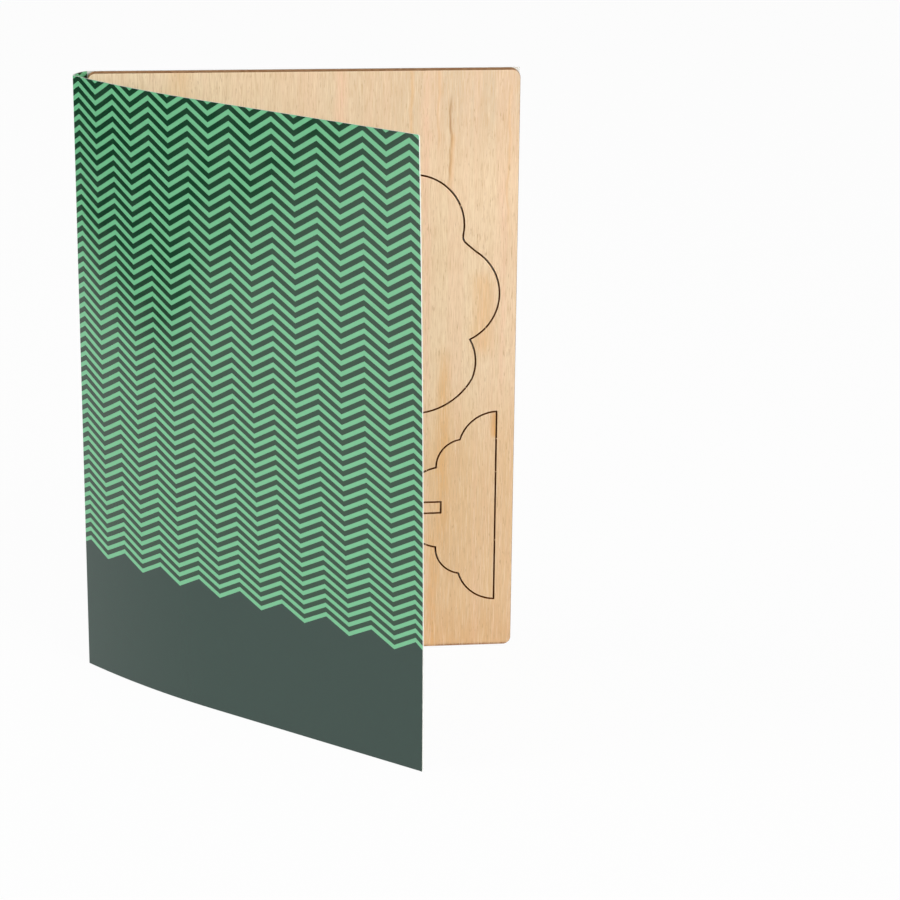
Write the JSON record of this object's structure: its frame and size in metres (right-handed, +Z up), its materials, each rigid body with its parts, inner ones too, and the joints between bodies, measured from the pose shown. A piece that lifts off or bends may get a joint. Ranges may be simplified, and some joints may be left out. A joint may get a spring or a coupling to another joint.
{
  "type": "jigsaw puzzle postcard",
  "caption": "Folded printed card standing half open, with a plywood board taped inside it that holds a press-out tree and its slotted foot",
  "frame": {"origin": "middle of the ground that the half-open postcard covers, at the level of the card's lower edge", "axes": "+Z up along the fold; +X along the board, from the spine to the open side; the cover opens towards -Y"},
  "size_m": [0.1086, 0.0838, 0.1505],
  "materials": {
    "printed_card": "coated card printed with green zigzag stripes",
    "plywood": "bare birch plywood with laser-charred cuts",
    "tape": "double-sided tissue tape"
  },
  "bodies": {
    "root": {"card_cover": "printed_card", "puzzle_frame": "plywood", "tree_piece": "plywood", "stand_piece": "plywood", "upper_tape": "tape", "lower_tape": "tape"}
  },
  "joints": []
}
